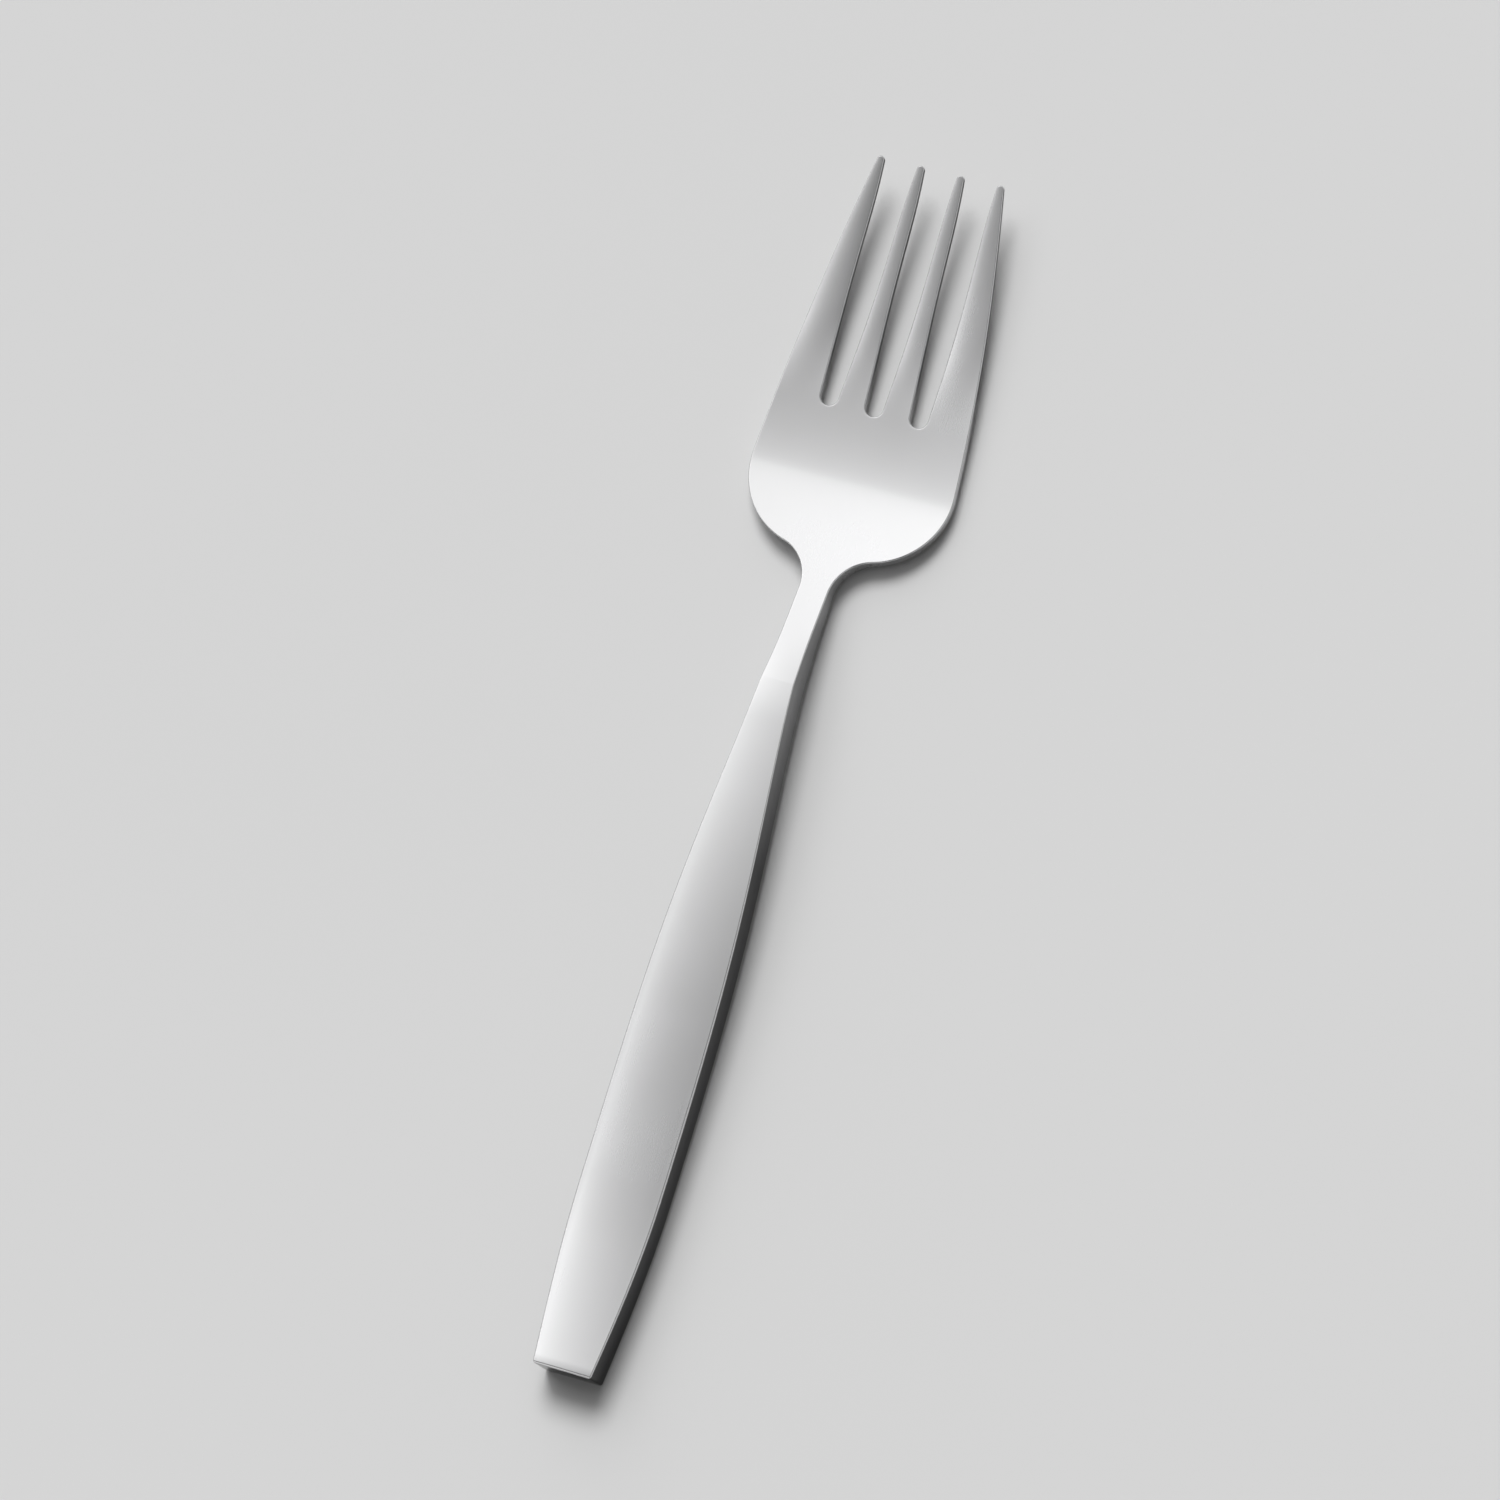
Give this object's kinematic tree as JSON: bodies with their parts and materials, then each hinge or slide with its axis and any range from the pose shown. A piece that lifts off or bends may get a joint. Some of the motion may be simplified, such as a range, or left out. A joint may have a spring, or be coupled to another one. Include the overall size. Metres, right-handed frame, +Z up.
{
  "type": "fish fork",
  "caption": "Fork with slender tapering tines, a shallow waisted bowl and a boat-shaped hollow handle, for lifting and eating fish.",
  "frame": {"origin": "on the table under the middle of the fork's length", "axes": "+X along the fork to the tine tips, +Y to the fork's left, +Z up from the table"},
  "size_m": [0.1904, 0.0326, 0.0088],
  "materials": {
    "satin_steel": "satin",
    "cement": "matte"
  },
  "bodies": {
    "root": {"fork_head": "satin_steel", "handle_upper_shell": "satin_steel", "handle_lower_shell": "satin_steel", "handle_filler": "cement"}
  },
  "joints": []
}
